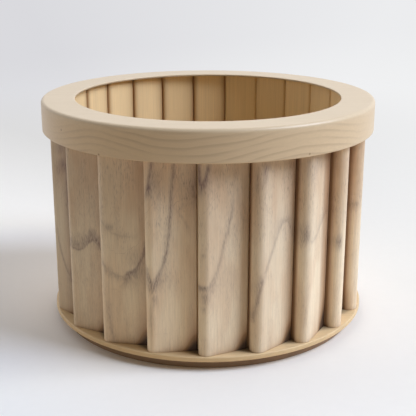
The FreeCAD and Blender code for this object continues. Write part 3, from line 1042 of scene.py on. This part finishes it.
def screw_mesh(long):
    """A countersunk screw, head down at the origin: a slot, a coned head and a threaded shank with a tip."""
    around, rings_per_turn, tip_rings, steepness = 14, 5, 8, 3.2
    head, shank, core = 3.5 * MM, 1.75 * MM, 1.3 * MM
    head_edge, cone, thread_start, tip, pitch = 0.15 * MM, 2.2 * MM, 4 * MM, 4 * MM, 1.8 * MM
    plain = [(head, 0.0), (head, head_edge), (shank, cone), (shank * 0.98, thread_start)]
    rise = pitch / rings_per_turn
    steps = int((long - tip - thread_start) / rise)
    threaded = [thread_start + rise * (step + 1) for step in range(steps)]
    start = threaded[-1]
    threaded += [start + (long - start) * step / tip_rings for step in range(1, tip_rings)]
    rings = plain + [(None, height) for height in threaded]
    vertices = []
    for radius, height in rings:
        for index in range(around):
            own_radius = radius
            if radius is None:
                phase = (height / pitch - index / around) % 1.0
                ridge = max(0.0, 1 - abs(phase - 0.5) * steepness)
                narrowing = min(1.0, (long - height) / tip)
                own_radius = (core + (shank - core) * ridge) * narrowing
            vertices.append((*turned((own_radius, 0), FULL_TURN * index / around), height))
    faces = []
    for number in range(len(rings) - 1):
        faces += band_faces(number * around, (number + 1) * around, around)
    faces.append(tuple(reversed(range(around))))
    peak = len(vertices)
    vertices.append((0, 0, long - 0.02 * MM))
    last = (len(rings) - 1) * around
    faces += [(last + index, last + (index + 1) % around, peak) for index in range(around)]
    mesh = bpy.data.meshes.new("screw")
    mesh.from_pydata(vertices, [], faces)
    x, y, slot_depth = 3.6 * MM, 0.45 * MM, 1.3 * MM
    slot = [Vector(corner) for corner in ((-x, -y), (x, -y), (x, y), (-x, y))]
    return less("slotted_screw", mesh, upright_mesh("slot", slot, [(-0.5 * MM, 0.0), (slot_depth, 0.0)]))


def make_slat_screws(sizes, finish):
    screw, zinc = screw_mesh(sizes.slat_screw_length), screw_material(finish)
    mesh = circled_mesh("slat_screws", screw, zinc, sizes.slat_count, FIRST_SLAT, sizes.slat_screw_radius,
                        plate_low.z, jitter=1.5)
    settle(mesh, "slat_screws", "planter", ["slat_screws"])


def make_plinth_screws(sizes, finish):
    screw, zinc = screw_mesh(sizes.plinth_screw_length), screw_material(finish)
    mesh = circled_mesh("plinth_screws", screw, zinc, sizes.plinth_screw_count, 0.0,
                        sizes.plinth_screw_radius, 0.3 * MM, jitter=1.5)
    settle(mesh, "plinth_screws", "planter", ["plinth_screws"])


def make_tray(sizes, finish):
    """The drip tray: a tapered shell with a rim and a foot ring, and rounded ribs on its floor."""
    plastic = tray_material(finish)
    seat, rim_top = tray_low.z, tray_high.z
    wall, foot, rim, stand, taper = 2.5 * MM, 6 * MM, 4.5 * MM, 2 * MM, 6 * MM
    edge, corner, crease, cove = 1 * MM, 0.4 * MM, 0.6 * MM, 8 * MM
    underside = seat + stand
    floor = underside + wall
    rim_under = rim_top - wall
    top_outside = sizes.tray_radius - rim
    foot_outside = top_outside - taper
    shell = turned_mesh("tray_shell", [
        (0, underside, 0),
        (foot_outside - foot * 2, underside, crease),
        (foot_outside - foot * 2, seat, corner),
        (foot_outside - foot, seat, corner),
        (foot_outside - foot, underside, crease),
        (foot_outside, underside, wall),
        (top_outside, rim_under, edge),
        (sizes.tray_radius, rim_under, edge),
        (sizes.tray_radius, rim_top, edge),
        (top_outside - wall, rim_top, edge),
        (foot_outside - wall, floor, cove),
        (0, floor, 0),
    ], plastic)
    start, end, half, rounding = 28 * MM, foot_outside - wall - cove, 1.5 * MM, 1.4 * MM
    outline = rounded_outline([
        (start, -half, rounding), (end, -half, rounding), (end, half, rounding), (start, half, rounding),
    ], steps=5)
    levels = [(floor - wall / 2, 0.0), (floor + 2.2 * MM, 0.0), (floor + 2.6 * MM, 0.12 * MM),
              (floor + 2.87 * MM, 0.4 * MM), (floor + 3 * MM, 0.8 * MM)]
    ribs = circled_mesh("tray_ribs", upright_mesh("rib", outline, levels), plastic, copies=12)
    joined = bmesh.new()
    joined.from_mesh(shell)
    joined.from_mesh(ribs)
    mesh = bpy.data.meshes.new("drip_tray")
    joined.to_mesh(mesh)
    joined.free()
    mesh.materials.append(plastic)
    shade_softly(mesh)
    settle(mesh, "drip_tray", "tray", ["drip_tray"])


def seen_directly(bench):
    """1 for rays from the camera, in a mirror or through glass, and 0 for the rays that light things."""
    path = bench.node("ShaderNodeLightPath").outputs
    beyond_camera = bench.math("MAXIMUM", path["Is Glossy Ray"], path["Is Transmission Ray"])
    return bench.math("MAXIMUM", path["Is Camera Ray"], beyond_camera)


def floor_material():
    """Pale paper that keeps the planter's shadow. It fades into an even pale tone far out."""
    material, bench = new_material("studio_floor")
    place = object_place(bench)
    flat = bench.vector("MULTIPLY", place, (1.0, 1.0, 0.0))
    reach = bench.vector("LENGTH", flat)
    seen = seen_directly(bench)

    # The paper as it is seen: painted shade towards the right, where the lamp is strongest, cooler at the
    # left, and a painted cool tint where the shadow falls
    ahead = bench.vector("DOT_PRODUCT", flat, (0.8, 0.6, 0.0))
    shown = bench.mix(bench.slope(ahead, -0.10, 0.26, 0.0, 1.0), (0.955, 0.94, 0.915), (0.80, 0.785, 0.75))
    left_tint = bench.mix(bench.rise(ahead, -0.42, -0.16), (0.91, 0.94, 0.985), (1.02, 1.015, 1.01))
    shown = bench.vector("MULTIPLY", shown, left_tint)
    in_shadow = bench.rise(bench.vector("DISTANCE", flat, (-0.30, 0.04, 0.0)), 0.20, 0.30, 1.0, 0.0)
    shown = bench.vector("MULTIPLY", shown, bench.mix(in_shadow, WHITE, (0.972, 0.99, 1.05)))
    paper = bench.noise(place, (90.0, 90.0, 90.0))
    shown = bench.scaled(shown, bench.slope(paper, *NARROW, 0.995, 1.005))

    # The paper as it lights the planter from below
    bounce = bench.mix(bench.rise(reach, 0.35, 0.9), (0.83, 0.68, 0.50), (0.35, 0.31, 0.26))
    diffuse = bench.node("ShaderNodeBsdfDiffuse", {"Color": bench.mix(seen, bounce, shown)})

    # Far out, a painted glow, brighter in a painted pool of light at the back right and darker at the far
    # left
    sideways = bench.over(bench.parts(place)[0], reach)
    beyond = bench.mix(bench.slope(sideways, -0.24, 0.24, 0.0, 1.0), (0.70, 0.70, 0.73), (0.84, 0.845, 0.86))
    pool = bench.vector("DISTANCE", flat, (1.6, 0.6, 0.0))
    tone = bench.mix(bench.rise(pool, 0.5, 3.0), (0.89, 0.895, 0.90), beyond)
    glow = bench.node("ShaderNodeEmission", {"Color": tone, "Strength": 1.0})
    far = bench.times(bench.rise(reach, 0.7, 1.8), seen)
    surface = bench.node("ShaderNodeMixShader", {0: far, 1: diffuse.outputs[0], 2: glow.outputs[0]})
    bench.node("ShaderNodeOutputMaterial", {"Surface": surface.outputs[0]})
    return material


def make_floor():
    bpy.ops.mesh.primitive_circle_add(vertices=96, radius=9.0, fill_type="NGON", location=(0, 0, 0))
    floor = bpy.context.object
    floor.name = "studio_floor"
    floor.data.materials.append(floor_material())


def make_world():
    """Soft light: a cool window behind on the left, and a little warm light from the front and the left."""
    world = bpy.data.worlds.new("studio_world")
    world.use_nodes = True
    world.node_tree.nodes.clear()
    bench = Bench(world.node_tree)
    direction = bench.node("ShaderNodeTexCoord").outputs["Generated"]
    rightwards, backwards, upwards = bench.parts(direction)
    behind = bench.math("MAXIMUM", backwards, 0.0)
    left = bench.math("MAXIMUM", bench.vector("DOT_PRODUCT", direction, (-0.85, 0.53, 0.0)), 0.0)
    lower = bench.slope(upwards, 0.0, 1.0, 1.10, 0.45)
    window = bench.times(bench.math("POWER", left, 3.0), lower)
    cool = bench.scaled((1.40, 1.39, 1.38), bench.plus(behind, window))
    before = bench.times(bench.math("MINIMUM", backwards, 0.0), -0.056)
    beside = bench.times(bench.math("MINIMUM", rightwards, 0.0), -0.07)
    warm = bench.scaled((1.07, 0.89, 0.64), bench.plus(bench.plus(before, beside), 0.055))
    sky = bench.mix(seen_directly(bench), bench.vector("ADD", cool, warm), (0.78, 0.78, 0.80))
    background = bench.node("ShaderNodeBackground", {"Color": sky, "Strength": 1.0})
    bench.node("ShaderNodeOutputWorld", {"Surface": background.outputs[0]})
    bpy.context.scene.world = world


def soft_lamp(name, azimuth, elevation, distance, size, level, tint):
    """A square soft box aimed at the planter. The level is the share of full light on a face towards it."""
    lamp = bpy.data.lights.new(name, "AREA")
    lamp.shape = "SQUARE"
    lamp.size = size
    lamp.color = tint
    lamp.energy = level * (math.pi * distance) ** 2
    turn, lift = math.radians(azimuth), math.radians(elevation)
    aim = Vector((0, 0, 0.14))
    way = Vector((math.sin(turn) * math.cos(lift), -math.cos(turn) * math.cos(lift), math.sin(lift)))
    made = linked(name, lamp)
    made.location = aim + way * distance
    made.rotation_euler = way.to_track_quat("Z", "Y").to_euler()
    made.visible_camera = False


def make_camera():
    """The photo's view, straight in front and tipped down. The focal length is in the photo's pixels."""
    focal_pixels, photo_pixels, tip_down = 883.4, 416.0, 17.295
    lens = bpy.data.cameras.new("camera")
    lens.sensor_width = 36.0
    lens.lens = focal_pixels / photo_pixels * lens.sensor_width
    camera = linked("camera", lens)
    camera.location = (0.0, -1.065, 0.4596)
    camera.rotation_euler = (math.radians(90 - tip_down), 0.0, 0.0)
    bpy.context.scene.camera = camera


def make_stage():
    make_camera()
    make_floor()
    make_world()
    soft_lamp("key_lamp", azimuth=77.0, elevation=41.0, distance=5.0, size=2.7, level=0.972,
              tint=(0.92, 1.0, 1.15))
    bpy.context.scene.view_settings.view_transform = "Standard"


def asked(context):
    """The sizes and colours that the panel shows."""
    return context.scene.planter_sizes, context.scene.planter_finish


class PLANTER_OT_turn_ring(bpy.types.Operator):
    """Turn the thick top ring from its section"""
    bl_idname = "planter.turn_ring"
    bl_label = "Turn the Top Ring"

    def execute(self, context):
        make_ring(*asked(context))
        return {"FINISHED"}


class PLANTER_OT_stand_slats(bpy.types.Operator):
    """Stand the limed slats round the drum"""
    bl_idname = "planter.stand_slats"
    bl_label = "Stand the Slats"

    def execute(self, context):
        make_slats(*asked(context))
        return {"FINISHED"}


class PLANTER_OT_raise_drum(bpy.types.Operator):
    """Raise the drum of maple staves"""
    bl_idname = "planter.raise_drum"
    bl_label = "Raise the Drum"

    def execute(self, context):
        make_staves(*asked(context))
        return {"FINISHED"}


class PLANTER_OT_lay_plate(bpy.types.Operator):
    """Lay the thin base plate"""
    bl_idname = "planter.lay_plate"
    bl_label = "Lay the Base Plate"

    def execute(self, context):
        make_plate(*asked(context))
        return {"FINISHED"}


class PLANTER_OT_lay_plinth(bpy.types.Operator):
    """Lay the stained plinth"""
    bl_idname = "planter.lay_plinth"
    bl_label = "Lay the Plinth"

    def execute(self, context):
        make_plinth(*asked(context))
        return {"FINISHED"}


class PLANTER_OT_fit_dowels(bpy.types.Operator):
    """Fit a fluted dowel between each slat and the ring"""
    bl_idname = "planter.fit_dowels"
    bl_label = "Fit the Dowels"

    def execute(self, context):
        make_dowels(*asked(context))
        return {"FINISHED"}


class PLANTER_OT_drive_screws(bpy.types.Operator):
    """Drive the screws that hold the slats and the plinth to the base plate"""
    bl_idname = "planter.drive_screws"
    bl_label = "Drive the Screws"

    def execute(self, context):
        make_slat_screws(*asked(context))
        make_plinth_screws(*asked(context))
        return {"FINISHED"}


class PLANTER_OT_mould_tray(bpy.types.Operator):
    """Mould the drip tray that lifts out"""
    bl_idname = "planter.mould_tray"
    bl_label = "Mould the Drip Tray"

    def execute(self, context):
        make_tray(*asked(context))
        return {"FINISHED"}


class PLANTER_OT_set_stage(bpy.types.Operator):
    """Set the camera, the pale floor, the soft sky and the soft lamp"""
    bl_idname = "planter.set_stage"
    bl_label = "Set the Stage"

    def execute(self, context):
        make_stage()
        return {"FINISHED"}


OPERATORS = (
    PLANTER_OT_turn_ring, PLANTER_OT_stand_slats, PLANTER_OT_raise_drum, PLANTER_OT_lay_plate,
    PLANTER_OT_lay_plinth, PLANTER_OT_fit_dowels, PLANTER_OT_drive_screws, PLANTER_OT_mould_tray,
    PLANTER_OT_set_stage,
)


class VIEW3D_PT_planter(bpy.types.Panel):
    """Lists the planter's pieces, sizes and finishes"""
    bl_label = "Planter"
    bl_space_type = "VIEW_3D"
    bl_region_type = "UI"
    bl_category = "Planter"

    def draw(self, context):
        for operator in OPERATORS:
            self.layout.operator(operator.bl_idname)
        for group in asked(context):
            for name in group.__annotations__:
                self.layout.prop(group, name)


CLASSES = (PlanterSizes, PlanterFinish, *OPERATORS, VIEW3D_PT_planter)


def register():
    for each in CLASSES:
        bpy.utils.register_class(each)
    bpy.types.Scene.planter_sizes = bpy.props.PointerProperty(type=PlanterSizes)
    bpy.types.Scene.planter_finish = bpy.props.PointerProperty(type=PlanterFinish)


def unregister():
    del bpy.types.Scene.planter_finish
    del bpy.types.Scene.planter_sizes
    for each in reversed(CLASSES):
        bpy.utils.unregister_class(each)


def main():
    register()
    bpy.ops.planter.turn_ring()
    bpy.ops.planter.stand_slats()
    bpy.ops.planter.raise_drum()
    bpy.ops.planter.lay_plate()
    bpy.ops.planter.lay_plinth()
    bpy.ops.planter.fit_dowels()
    bpy.ops.planter.drive_screws()
    bpy.ops.planter.mould_tray()
    bpy.ops.planter.set_stage()


if __name__ == "__main__":
    main()
